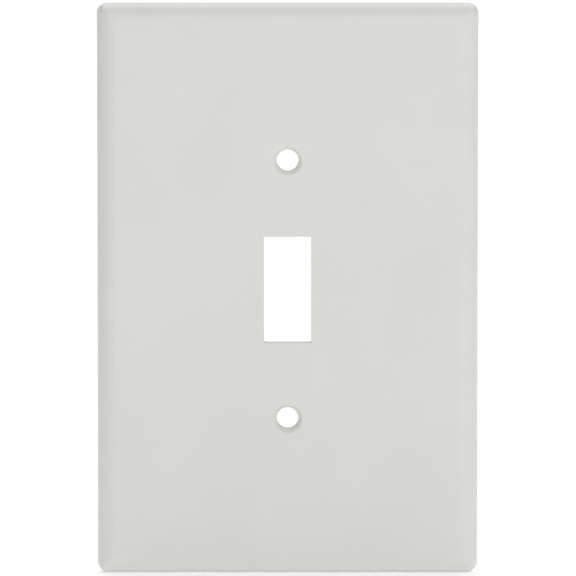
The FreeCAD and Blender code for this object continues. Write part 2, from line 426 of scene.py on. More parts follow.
def circle(centre: Vector, radius: float, across: Vector, up: Vector, count: int) -> Ring:
    """A circle's points.

    Args:
        centre: Its centre.
        radius: Its radius.
        across: Unit vector in its plane, towards its first point.
        up: Unit vector in its plane, square to across.
        count: Number of points.

    Returns:
        The points in order, from across towards up.
    """
    angles = [2 * math.pi * step / count for step in range(count)]
    return [centre + radius * (math.cos(a) * across + math.sin(a) * up) for a in angles]


def loft(rings: Sequence[Ring], bands: Sequence[Skin] | None = None) -> Solid:
    """A closed solid through rings of equal length, with a flat cap at each end.

    Args:
        rings: The rings, in order from one end to the other.
        bands: The finish of each band between two rings. The caps take the end bands' finishes.

    Returns:
        The solid, with its faces outward.
    """
    solid = bmesh.new()
    finishes = bands or [Skin.POLISHED] * (len(rings) - 1)
    loops = [[solid.verts.new(point) for point in ring] for ring in rings]
    for first, second, finish in zip(loops, loops[1:], finishes):
        for i in range(len(first)):
            face = solid.faces.new((first[i - 1], first[i], second[i], second[i - 1]))
            face.material_index = finish.value
    for loop, finish in ((loops[0], finishes[0]), (loops[-1], finishes[-1])):
        solid.faces.new(loop).material_index = finish.value
    bmesh.ops.recalc_face_normals(solid, faces=solid.faces)
    return solid


def lathe(centre: Vector, axis: Vector, across: Vector, outline: Outline, count: int) -> Solid:
    """A turned solid.

    Args:
        centre: Where distances along the axis are counted from.
        axis: Unit vector along its axis.
        across: Unit vector square to the axis.
        outline: (radius, distance along the axis) from one end to the other, with no radius of 0.
        count: Number of points round it.

    Returns:
        The solid, with its faces outward.
    """
    up = axis.cross(across)
    return loft([circle(centre + axis * along, r, across, up, count) for r, along in outline])


def make_object(name: str, data: bpy.types.ID) -> Made:
    """Puts a mesh, curve, light or camera in the scene as an object at the origin."""
    made = bpy.data.objects.new(name, data)
    bpy.context.scene.collection.objects.link(made)
    return made


def object_from(name: str, solid: Solid, *materials: Material) -> Made:
    """Turns a bmesh into an object and frees it.

    Args:
        name: The object's name.
        solid: The bmesh.
        *materials: Its materials, in the order of the faces' indices.

    Returns:
        The object, at the origin.
    """
    mesh = bpy.data.meshes.new(name)
    solid.to_mesh(mesh)
    solid.free()
    for material in materials:
        mesh.materials.append(material)
    return make_object(name, mesh)


def plain_mesh(made: Made) -> Made:
    """Turns what an object's modifiers make into its own mesh, and removes them."""
    evaluated = made.evaluated_get(bpy.context.evaluated_depsgraph_get())
    mesh = bpy.data.meshes.new_from_object(evaluated)
    made.modifiers.clear()
    mesh.name = made.name
    made.data = mesh
    return made


def combine(base: Made, parts: Sequence[tuple[Join, Made]]) -> Made:
    """Adds parts to a solid and cuts parts out of it, in order, and removes them.

    Args:
        base: The solid, which is changed.
        parts: What to do with each part, and the part.

    Returns:
        The solid.
    """
    for how, part in parts:
        step = base.modifiers.new(part.name, "BOOLEAN")
        step.operation = how.value
        step.solver = "MANIFOLD"
        step.material_mode = "TRANSFER"
        step.object = part
    plain_mesh(base)
    for _, part in parts:
        bpy.data.objects.remove(part)
    return base


def smooth_surface(made: Made, sharp_deg: float) -> Made:
    """Cleans a solid's mesh and shades it smooth, with its flat faces kept flat.

    Args:
        made: The object.
        sharp_deg: Edges that turn by more than this stay sharp.

    Returns:
        The object.
    """
    solid = bmesh.new()
    solid.from_mesh(made.data)
    bmesh.ops.remove_doubles(solid, verts=solid.verts, dist=MERGE_GAP)
    bmesh.ops.dissolve_degenerate(solid, dist=SLIVER, edges=solid.edges)
    for face in solid.faces:
        face.smooth = True
    solid.to_mesh(made.data)
    solid.free()
    made.data.set_sharp_from_angle(angle=math.radians(sharp_deg))
    weighting = made.modifiers.new("face_weights", "WEIGHTED_NORMAL")
    weighting.keep_sharp = True
    return plain_mesh(made)


@dataclass
class PartTree:
    """A geometry node tree that makes a part from named inputs. Each kind builds its own."""

    name: str
    inputs: dict[str, str]
    tree: Tree = field(init=False)
    given: Any = field(init=False)

    def __post_init__(self) -> None:
        """Starts the tree, has it built and ends it."""
        self.tree = bpy.data.node_groups.new(self.name, "GeometryNodeTree")
        sides = self.tree.interface
        sides.new_socket(name="Geometry", in_out="OUTPUT", socket_type="NodeSocketGeometry")
        for key, kind in {"Material": "Material", **self.inputs}.items():
            sides.new_socket(name=key, in_out="INPUT", socket_type="NodeSocket" + kind)
        self.given = self.tree.nodes.new("NodeGroupInput").outputs
        real = self.add("GeometryNodeRealizeInstances", {0: self.build()})
        finish = {"Geometry": real, "Material": self.given["Material"]}
        self.add("NodeGroupOutput", {0: self.add("GeometryNodeSetMaterial", finish)})

    def build(self) -> Socket:
        """Builds the tree's own nodes, and returns the geometry that they make."""
        raise NotImplementedError

    def add(self, kind: str, inputs: dict[str | int, Any], **settings: Any) -> Socket | None:
        """Adds one node to the tree.

        Args:
            kind: The node's Blender type name.
            inputs: What each input takes, by name or by place: a value, or a socket.
            **settings: The node's own properties.

        Returns:
            The node's first output, if it has one.
        """
        return next(iter(add_node(self.tree, kind, inputs, **settings).outputs), None)

    def standing(self, section: Socket, low: Any, high: Any) -> Socket:
        """Sets a section between two heights, and turns it to stand along a route's normal.

        Args:
            section: The section, centred, with its height along Y.
            low: How far below the route it starts, as a number or a socket.
            high: How far above the route it ends.

        Returns:
            The turned section.
        """
        rise = self.add("ShaderNodeMath", {0: high, 1: low}, operation="SUBTRACT")
        lift = self.add("ShaderNodeMath", {0: rise, 1: 0.5}, operation="MULTIPLY")
        offset = self.add("ShaderNodeCombineXYZ", {"X": lift})
        turn = (0.0, 0.0, math.radians(-90))
        placed = {"Geometry": section, "Translation": offset, "Rotation": turn}
        return self.add("GeometryNodeTransform", placed)

    def trapezium(self, height: Socket, top_width: Socket, spread: float, span: Span) -> Socket:
        """A section that is wider at its bottom, standing along a route's normal.

        Args:
            height: Its height.
            top_width: Its width at the top.
            spread: How much wider it gets for each unit of height.
            span: How far it reaches below and above the route.

        Returns:
            The standing section.
        """
        wide = {0: height, 1: spread, 2: top_width}
        sizes = {
            "Height": height,
            "Top Width": top_width,
            "Bottom Width": self.add("ShaderNodeMath", wide, operation="MULTIPLY_ADD"),
            "Offset": 0.0,
        }
        block = self.add("GeometryNodeCurvePrimitiveQuadrilateral", sizes, mode="TRAPEZOID")
        return self.standing(block, *span)

    def run(self, name: str, material: Material, values: dict[str, Any]) -> Made:
        """Runs the tree and keeps what it makes as a plain mesh.

        Args:
            name: The new object's name.
            material: Its material.
            values: The value of each named input. Objects among them are removed afterwards.

        Returns:
            The object.
        """
        made = make_object(name, bpy.data.meshes.new(name))
        step = made.modifiers.new(self.name, "NODES")
        step.node_group = self.tree
        for item in self.tree.interface.items_tree:
            if item.in_out == "INPUT":
                step[item.identifier] = {"Material": material, **values}[item.name]
        plain_mesh(made)
        made.data.materials.clear()
        made.data.materials.append(material)
        for value in values.values():
            if isinstance(value, Made):
                bpy.data.objects.remove(value)
        return made


# ---- Datums ------------------------------------------------------------------------------------


@dataclass(frozen=True)
class Datums:
    """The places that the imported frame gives, in metres."""

    low: Vector  # corners of the plate's box
    high: Vector
    holes: tuple[Vector, ...]  # centre of each screw hole, on the face of its boss
    hole_radius: float
    slot_half_x: float
    slot_half_z: float

    @classmethod
    def read(cls, record: dict[str, Any]) -> "Datums":
        """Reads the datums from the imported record."""
        slot_margin = 0.05 * MM  # the stated opening stands this far inside the slot's walls
        low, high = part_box("wall_plate")
        pattern = next(mount for mount in record["mounts"] if mount["kind"] == "bolt_pattern")
        half_spacing = pattern["dims"]["spacing_y_mm"] * MM / 2
        openings = record["physics"]["openings"]
        slot_corner = next(o["box_m"] for o in openings if o["name"] == "toggle_slot")[1]
        return cls(
            low=low,
            high=high,
            holes=tuple(Vector(pattern["pos_m"]) + UP * half_spacing * side for side in (1, -1)),
            hole_radius=pattern["dims"]["hole_r_mm"] * MM,
            slot_half_x=slot_corner[0] + slot_margin,
            slot_half_z=slot_corner[2] + slot_margin,
        )


# ---- The moulding ------------------------------------------------------------------------------


@dataclass
class RibTree(PartTree):
    """Raises a moulded rib along every spline of a path.

    The rib's top edges are rounded, and its foot spreads where it meets the wall it stands on.
    """

    name: str = "moulded_rib"
    inputs: dict[str, str] = field(
        default_factory=lambda: {
            "Path": "Object",
            **dict.fromkeys(
                ("Bend radius", "Width", "Height", "Edge radius", "Foot", "Sink"), "Float"
            ),
        }
    )
    cuts: int = 6

    def build(self) -> Socket:
        """Builds the tree's own nodes, and returns the geometry that they make."""
        path = add_node(self.tree, "GeometryNodeObjectInfo", {"Object": self.given["Path"]})
        bent = self._rounded(path.outputs["Geometry"], self.given["Bend radius"])
        upright = {"Curve": bent, "Normal": tuple(INWARD)}
        route = self.add("GeometryNodeSetCurveNormal", upright, mode="FREE")
        joined = {"operation": "UNION", "solver": "MANIFOLD"}
        whole = add_node(self.tree, "GeometryNodeMeshBoolean", {}, **joined)
        for section in (self._web(), self._foot()):
            swept = {"Curve": route, "Profile Curve": section, "Fill Caps": True}
            part = self.add("GeometryNodeCurveToMesh", swept)
            feed(self.tree, whole, {"Mesh 2": part})
        return whole.outputs["Mesh"]

    def _rounded(self, curve: Socket, radius: Socket) -> Socket:
        """Rounds the corners of a curve."""
        rounding = {"Curve": curve, "Radius": radius, "Count": self.cuts, "Limit Radius": True}
        return self.add("GeometryNodeFilletCurve", rounding, mode="POLY")

    def _web(self) -> Socket:
        """The section of the rib itself: a rectangle with round corners, sunk in the wall."""
        top, sink = self.given["Height"], self.given["Sink"]
        height = self.add("ShaderNodeMath", {0: top, 1: sink}, operation="ADD")
        sizes = {"Width": self.given["Width"], "Height": height}
        block = self.add("GeometryNodeCurvePrimitiveQuadrilateral", sizes, mode="RECTANGLE")
        return self.standing(self._rounded(block, self.given["Edge radius"]), sink, top)

    def _foot(self) -> Socket:
        """The section of the spreading foot: a trapezium twice as high as the foot's spread."""
        spread = self.given["Foot"]
        height = self.add("ShaderNodeMath", {0: spread, 1: 2.0}, operation="MULTIPLY")
        return self.trapezium(height, self.given["Width"], 2.0, (spread, spread))


@dataclass
class CopiesTree(PartTree):
    """Sets a copy of one solid at every point of a mesh."""

    name: str = "copies_at_places"
    inputs: dict[str, str] = field(
        default_factory=lambda: {"Part": "Object", "Places": "Object"}
    )

    def build(self) -> Socket:
        """Builds the tree's own nodes, and returns the geometry that they make."""
        points, part = (
            add_node(self.tree, "GeometryNodeObjectInfo", {"Object": self.given[key]})
            for key in ("Places", "Part")
        )
        placed = {"Points": points.outputs["Geometry"], "Instance": part.outputs["Geometry"]}
        return self.add("GeometryNodeInstanceOnPoints", placed)


@dataclass
class WallPlateMoulding:
    """The plate: a hollow moulding with everything that is moulded on it. Sizes are in mm."""

    datums: Datums
    carried: "MountingScrew"  # the screw that both keepers and troughs fit
    keeper_places: tuple[Vector, ...]  # each screw's axis, as a point at depth 0 and height 0
    travel: float  # how far a screw slides, in metres
    polished: Material
    satin: Material
    name: str = "wall_plate_moulding"
    face_wall: float = 2.3
    rim_wall: float = 2.0
    roll_radius: float = 4.6
    corner_radius: float = 2.4
    cavity_corner_radius: float = 1.2
    least_corner: float = 0.6  # plan radius of the ridge where the two rolls of a corner meet
    rim_edge: float = 0.25
    flash_step: float = 0.03  # the die's parting line steps the side in by this much
    flash_height: float = 0.55  # and is this far from the wall plane
    slot_corner: float = 0.35
    mouth_edge: float = 0.15  # rounds every edge where an opening meets a face
    mouth_depth: float = 0.97  # how deep the countersink goes
    countersink_radius: float = 3.395
    boss_wall: float = 2.6
    collar_wall: float = 1.5
    collar_rise: float = 1.5
    rib_wall: float = 1.2
    rib_edge: float = 0.28
    rib_foot: float = 0.25
    sink: float = 0.5  # how far everything raised goes into the wall that it stands on
    frame_side_margin: float = 15.5
    frame_end_margin: float = 7.0
    frame_drop: float = 0.6
    frame_bend: float = 1.6
    inner_tie_drop: float = 2.0
    outer_tie_drop: float = 1.0
    keeper_length: float = 5.0
    keeper_wall: float = 1.05
    keeper_drop: float = 0.4
    keeper_bore_clearance: float = 0.04
    keeper_snap: float = 0.05
    keeper_lead_in: float = 0.14
    keeper_edge: float = 0.16  # rounds its edges that turn by more than keeper_edge_deg
    keeper_edge_deg: float = 40.0
    keeper_edge_cuts: int = 3
    keeper_seat_gap: float = 0.1
    trough_clearance: float = 0.12
    trough_overrun: float = 1.0
    mark_radius: float = 1.6
    mark_rise: float = 0.07
    mark_share: float = 0.62  # how far out the inner marks are, of the frame rib's half width
    inner_mark_heights: tuple[float, float] = (0.28, 0.8)  # of the frame rib's half height
    outer_mark_heights: tuple[float, float] = (0.42, 0.8)
    overrun: float = 1.0  # how far a cutter stands out of what it cuts
    sharp_deg: float = 32.0  # edges of the finished piece that turn by more stay sharp
    roll_cuts: int = 24
    corner_cuts: int = 10
    edge_cuts: int = 5
    around: int = 96

    def __post_init__(self) -> None:
        """Works out the places that several methods share, in metres."""
        box = self.datums
        self.front_y = box.low.y
        self.wall_y = box.high.y
        self.floor_y = self.front_y + self.face_wall * MM
        self.half_x = (box.high.x - box.low.x) / 2
        self.half_z = (box.high.z - box.low.z) / 2
        self.inner_half_x = self.half_x - self.rim_wall * MM
        self.inner_half_z = self.half_z - self.rim_wall * MM
        rib_middle = self.rib_wall * MM / 2
        self.frame_half_x = self.inner_half_x - self.frame_side_margin * MM - rib_middle
        self.frame_half_z = self.inner_half_z - self.frame_end_margin * MM - rib_middle
        self.boss_radius = box.hole_radius + self.boss_wall * MM
        self.keeper_top_z = self.carried.neck_z - self.keeper_seat_gap * MM
        self.ribs = RibTree()
        self.copies = CopiesTree()

    def build(self) -> Made:
        """Builds the moulding, and returns the finished piece."""
        raised = [self._frame_rib(), *self._tie_ribs(), self._collar(), self._bosses()]
        raised += [self._keepers(), self._ejector_marks()]
        cutters = [self._slot_cutter(), self._hole_cutters(), self._trough_cutters()]
        steps = [(Join.ADD, part) for part in raised] + [(Join.CUT, part) for part in cutters]
        whole = object_from(self.name, self._shell(), self.polished, self.satin)
        return smooth_surface(combine(whole, steps), self.sharp_deg)

    # -- the shell --

    def _shell(self) -> Solid:
        """The hollow shell: rings from the front face round the rim to the cavity's floor."""
        rings: list[Ring] = []
        finishes: list[Skin] = []

        def add(inset: float, y: float, corner: float, finish: Skin) -> None:
            """Adds a ring set in from the outline, and the finish of the band up to it."""
            least = max(corner, self.least_corner * MM)
            half_x, half_z = self.half_x - inset, self.half_z - inset
            rings.append(rounded_rectangle(half_x, half_z, least, y, self.corner_cuts))
            finishes.append(finish)

        self._add_outside(add)
        self._add_inside(add)
        return loft(rings, finishes[1:])

    def _add_outside(self, add: Callable[[float, float, float, Skin], None]) -> None:
        """Adds the rolled edge, the side and the rim's outer edge, in order."""
        roll, corner = self.roll_radius * MM, self.corner_radius * MM
        edge, step = self.rim_edge * MM, self.flash_step * MM
        for rise, run in quarter_turn(self.roll_cuts):
            inset = roll * (1 - run)
            add(inset, self.front_y + roll * (1 - rise), corner - inset, Skin.POLISHED)
        flash_y = self.wall_y - self.flash_height * MM
        add(0.0, flash_y, corner, Skin.POLISHED)
        add(step, flash_y + step, corner - step, Skin.POLISHED)
        for run, rise in quarter_turn(self.edge_cuts):
            inset = step + edge * (1 - run)
            add(inset, self.wall_y - edge * (1 - rise), corner - inset, Skin.POLISHED)

    def _add_inside(self, add: Callable[[float, float, float, Skin], None]) -> None:
        """Adds the rim's inner edge, the cavity's side and the fillet to its floor, in order."""
        wall, edge = self.rim_wall * MM, self.rim_edge * MM
        corner = self.cavity_corner_radius * MM
        roll = (self.roll_radius - self.face_wall) * MM
        for rise, run in quarter_turn(self.edge_cuts):
            inset = wall - edge * (1 - run)
            add(inset, self.wall_y - edge * (1 - rise), corner + wall - inset, Skin.SATIN)
        for run, rise in quarter_turn(self.roll_cuts // 2):
            inset = roll * (1 - run)
            y = self.floor_y + roll * (1 - rise)
            add(wall + inset, y, corner - inset, Skin.SATIN)

    # -- what stands on the cavity's floor --

    def _floor_rectangle(self, half_x: float, half_z: float) -> Ring:
        """The corners of a rectangle on the cavity's floor."""
        signs = ((1, 1), (-1, 1), (-1, -1), (1, -1))
        return [Vector((sx * half_x, self.floor_y, sz * half_z)) for sx, sz in signs]

    def _rib(self, name: str, routes: Sequence[Ring], drop: float, bend: float | None) -> Made:
        """Raises ribs from the cavity's floor.

        Args:
            name: Their name.
            routes: The points of each one's route on the floor.
            drop: How far their tops are from the wall plane, in mm.
            bend: Radius of the bends of closed ribs in mm, or None for ribs that are open.

        Returns:
            The ribs as one object.
        """
        curve = bpy.data.curves.new(name + "_routes", "CURVE")
        curve.dimensions = "3D"
        for route in routes:
            spline = curve.splines.new("POLY")
            spline.points.add(len(route) - 1)
            spline.use_cyclic_u = bend is not None
            for point, place in zip(spline.points, route):
                point.co = (*place, 1.0)
        sizes = {
            "Path": make_object(curve.name, curve),
            "Bend radius": (bend or 0.0) * MM,
            "Width": self.rib_wall * MM,
            "Height": self.wall_y - drop * MM - self.floor_y,
            "Edge radius": self.rib_edge * MM,
            "Foot": self.rib_foot * MM,
            "Sink": self.sink * MM,
        }
        return self.ribs.run(name, self.satin, sizes)

    def _frame_rib(self) -> Made:
        """The rectangular rib round the space for the switch's strap."""
        route = self._floor_rectangle(self.frame_half_x, self.frame_half_z)
        return self._rib("frame_rib", [route], self.frame_drop, self.frame_bend)

    def _tie_ribs(self) -> list[Made]:
        """The straight ribs level with the screw holes, inside and outside the frame rib."""
        spans = {
            self.inner_tie_drop: (self.boss_radius - self.sink * MM, self.frame_half_x),
            self.outer_tie_drop: (self.frame_half_x, self.inner_half_x + self.sink * MM),
        }
        ribs = []
        for drop, ends in spans.items():
            routes = [
                [Vector((side * x, self.floor_y, hole.z)) for x in ends]
                for hole in self.datums.holes
                for side in (-1, 1)
            ]
            ribs.append(self._rib("tie_ribs", routes, drop, None))
        return ribs

    def _pad(self, outline: Callable[[float, float], Ring], top_y: float) -> Solid:
        """A raised pad with a spreading foot and a rounded top edge, sunk in the floor.

        Args:
            outline: Gives the ring that is a given distance outside the pad's side, at a depth.
            top_y: Depth of its top, in metres.

        Returns:
            The pad.
        """
        foot, edge = self.rib_foot * MM, self.rib_edge * MM
        rings = [outline(foot, self.floor_y - self.sink * MM)]
        for run, rise in quarter_turn(self.edge_cuts):
            rings.append(outline(foot * (1 - rise), self.floor_y + foot * (1 - run)))
        for run, rise in quarter_turn(self.edge_cuts):
            rings.append(outline(-edge * (1 - run), top_y - edge * (1 - rise)))
        return loft(rings, [Skin.SATIN] * (len(rings) - 1))

    def _collar(self) -> Made:
        """The collar round the toggle slot, still without the slot."""
        wall = self.collar_wall * MM
        half_x, half_z = self.datums.slot_half_x + wall, self.datums.slot_half_z + wall

        def outline(wider: float, y: float) -> Ring:
            """The collar's outline, made wider."""
            sizes = (half_x + wider, half_z + wider, wall + wider)
            return rounded_rectangle(*sizes, y, self.corner_cuts)

        pad = self._pad(outline, self.floor_y + self.collar_rise * MM)
        return object_from("slot_collar", pad, self.polished, self.satin)

    def _copied(self, name: str, part: Solid, places: Sequence[Vector], finish: Material) -> Made:
        """Sets copies of a part at places.

        Args:
            name: Their name.
            part: The part, built round the origin.
            places: Where each copy's origin goes.
            finish: Their material.

        Returns:
            The copies as one object.
        """
        points = bmesh.new()
        for place in places:
            points.verts.new(place)
        objects = {
            "Part": object_from(name + "_part", part, finish),
            "Places": object_from(name + "_places", points),
        }
        return self.copies.run(name, finish, objects)

    def _hole_places(self) -> list[Vector]:
        """Where the screw holes are, at depth 0."""
        return [Vector((hole.x, 0, hole.z)) for hole in self.datums.holes]

    def _bosses(self) -> Made:
        """The bosses round the screw holes, still without the holes."""

        def outline(wider: float, y: float) -> Ring:
            """A boss's outline, made wider."""
            return circle(INWARD * y, self.boss_radius + wider, ACROSS, UP, self.around)

        pad = self._pad(outline, self.datums.holes[0].y)
        return self._copied("screw_bosses", pad, self._hole_places(), self.satin)

    def _keepers(self) -> Made:
        """The snap keepers that the screws are pushed into from behind, with softened edges."""
        bore = (self.carried.major_radius + self.keeper_bore_clearance) * MM
        throat = (self.carried.major_radius - self.keeper_snap) * MM
        half = bore + self.keeper_wall * MM
        top = self.wall_y - self.keeper_drop * MM
        root = self.floor_y - self.sink * MM
        opening = math.acos(throat / bore)
        flare = throat + self.keeper_lead_in * MM
        steps = self.around // 2
        section = [(half, root), (half, top), (flare, top)]
        for step in range(steps + 1):
            angle = opening - (math.pi + 2 * opening) * step / steps
            x, rise = bore * math.cos(angle), bore * math.sin(angle)
            section.append((x, self.carried.centre.y + rise))
        section += [(-flare, top), (-half, top), (-half, root)]
        low_z = self.keeper_top_z - self.keeper_length * MM
        ends = [[Vector((x, y, z)) for x, y in section] for z in (self.keeper_top_z, low_z)]
        keeper = loft(ends)
        softened = [
            edge
            for edge in keeper.edges
            if edge.calc_face_angle() > math.radians(self.keeper_edge_deg)
            and min(vert.co.y for vert in edge.verts) > self.floor_y
        ]
        bmesh.ops.bevel(
            keeper,
            geom=softened,
            offset=self.keeper_edge * MM,
            segments=self.keeper_edge_cuts,
            profile=0.5,
            affect="EDGES",
            clamp_overlap=True,
        )
        return self._copied("screw_keepers", keeper, self.keeper_places, self.satin)

    def _ejector_marks(self) -> Made:
        """The low discs that the die's ejector pins leave on the cavity's floor."""
        columns = {
            self.frame_half_x * self.mark_share: self.inner_mark_heights,
            (self.frame_half_x + self.inner_half_x) / 2: self.outer_mark_heights,
        }
        spots = [(x, self.frame_half_z * share) for x, shares in columns.items() for share in shares]
        places = [Vector((i * x, 0, j * z)) for x, z in spots for i in (-1, 1) for j in (-1, 1)]
        radius, rise = self.mark_radius * MM, self.mark_rise * MM
        outline = [
            (radius, self.floor_y - rise),
            (radius, self.floor_y + rise / 2),
            (radius - rise / 2, self.floor_y + rise),
        ]
        disc = lathe(Vector(), INWARD, ACROSS, outline, self.around // 2)
        return self._copied("ejector_pin_marks", disc, places, self.satin)

    # -- what is cut out --

    def _mouth(self, y: float, inward: int) -> list[tuple[float, float]]:
        """The rounding of an opening's edge, from the outside in.

        Args:
            y: Depth of the face that it opens in.
            inward: 1 where the opening leads to greater depths from there, or -1.

        Returns:
            How much wider than the opening it is, and its depth, in metres.
        """
        edge = self.mouth_edge * MM
        turns = quarter_turn(self.edge_cuts)
        return [(edge * (1 - rise), y + inward * edge * (1 - run)) for run, rise in turns]

    def _slot_cutter(self) -> Made:
        """The solid that opens the toggle slot, with rounded edges at both faces."""
        back_y, clear = self.floor_y + self.collar_rise * MM, self.overrun * MM
        edge = self.mouth_edge * MM
        outline = [(edge, self.front_y - clear), *self._mouth(self.front_y, 1)]
        outline += [*reversed(self._mouth(back_y, -1)), (edge, back_y + clear)]
        rings = [
            rounded_rectangle(
                self.datums.slot_half_x + wider,
                self.datums.slot_half_z + wider,
                self.slot_corner * MM + wider,
                y,
                self.corner_cuts,
            )
            for wider, y in outline
        ]
        return object_from("slot_cutter", loft(rings), self.polished)

    def _hole_cutters(self) -> Made:
        """The solids that open the countersunk screw holes, with rounded edges."""
        radius, mouth = self.datums.hole_radius, self.countersink_radius * MM
        edge, clear, back_y = self.mouth_edge * MM, self.overrun * MM, self.datums.holes[0].y
        depth = self.mouth_depth * MM
        slope = (mouth - radius) / depth
        front = [(0.8, 0.0), (0.25, 0.15), (-0.7 * slope, 0.7)]  # in edges from the mouth's rim
        throat = [(0.5 * slope, -0.5), (0.0, 0.5)]  # in edges from where the bore begins
        outline = [(mouth + front[0][0] * edge, self.front_y - clear)]
        outline += [(mouth + wider * edge, self.front_y + y * edge) for wider, y in front]
        outline += [(radius + wider * edge, self.front_y + depth + y * edge) for wider, y in throat]
        outline += [(radius + wider, y) for wider, y in reversed(self._mouth(back_y, -1))]
        outline.append((radius + edge, back_y + clear))
        cutter = lathe(Vector(), INWARD, ACROSS, outline, self.around)
        return self._copied("hole_cutters", cutter, self._hole_places(), self.polished)

    def _trough_cutters(self) -> Made:
        """The solids that clear the screws' heads as they slide, with softened ends."""
        radius = self.carried.head_radius + self.trough_clearance * MM
        ease = self.mouth_edge * MM
        end_z = self.carried.apex_z + self.travel + self.trough_overrun * MM
        outline = [(radius, self.keeper_top_z), (radius, end_z - ease), (radius - ease, end_z)]
        axis = INWARD * self.carried.centre.y
        cutter = lathe(axis, UP, ACROSS, outline, self.around)
        return self._copied("trough_cutters", cutter, self.keeper_places, self.satin)


# ---- The screws --------------------------------------------------------------------------------


@dataclass
class ThreadTree(PartTree):
    """Winds a right-handed thread's ridge, which fades in at its tip and out at its neck."""

    name: str = "rolled_thread"
    inputs: dict[str, str] = field(
        default_factory=lambda: {
            "Start": "Vector",
            **dict.fromkeys(("Root radius", "Depth", "Pitch", "Turns", "Sink", "Fade"), "Float"),
        }
    )
    steps_per_turn: int = 56
    crest_share: float = 0.125  # the crest's width in pitches
    flank_deg: float = 30.0
    least_scale: float = 0.02

    def build(self) -> Socket:
        """Builds the tree's own nodes, and returns the geometry that they make."""
        given = self.given
        rise = {0: given["Pitch"], 1: given["Turns"]}
        sizes = {
            "Resolution": self.steps_per_turn,
            "Reverse": True,
            "Rotations": given["Turns"],
            "Start Radius": given["Root radius"],
            "End Radius": given["Root radius"],
            "Height": self.add("ShaderNodeMath", rise, operation="MULTIPLY"),
        }
        helix = self.add("GeometryNodeCurveSpiral", sizes)
        flat = {0: self.add("GeometryNodeInputPosition", {}), 1: (1.0, 1.0, 0.0)}
        outward = self.add("ShaderNodeVectorMath", flat, operation="MULTIPLY")
        facing = {"Curve": helix, "Normal": outward}
        swept = {
            "Curve": self.add("GeometryNodeSetCurveNormal", facing, mode="FREE"),
            "Profile Curve": self._section(),
            "Scale": self._fade(),
            "Fill Caps": True,
        }
        ridge = self.add("GeometryNodeCurveToMesh", swept)
        return self.add("GeometryNodeTransform", {"Geometry": ridge, "Translation": given["Start"]})

    def _section(self) -> Socket:
        """The ridge's section: a trapezium that is widest under the root's surface."""
        depth, sink = self.given["Depth"], self.given["Sink"]
        height = self.add("ShaderNodeMath", {0: depth, 1: sink}, operation="ADD")
        crest = {0: self.given["Pitch"], 1: self.crest_share}
        top_width = self.add("ShaderNodeMath", crest, operation="MULTIPLY")
        spread = 2 * math.tan(math.radians(self.flank_deg))
        return self.trapezium(height, top_width, spread, (sink, depth))

    def _fade(self) -> Socket:
        """The ridge's scale along the helix, which grows at the start and shrinks at the end."""
        along = self.add("GeometryNodeSplineParameter", {})
        from_end = self.add("ShaderNodeMath", {0: 1.0, 1: along}, operation="SUBTRACT")
        nearest = self.add("ShaderNodeMath", {0: along, 1: from_end}, operation="MINIMUM")
        share = {"Value": nearest, "From Max": self.given["Fade"], "To Min": self.least_scale}
        return self.add("ShaderNodeMapRange", share)


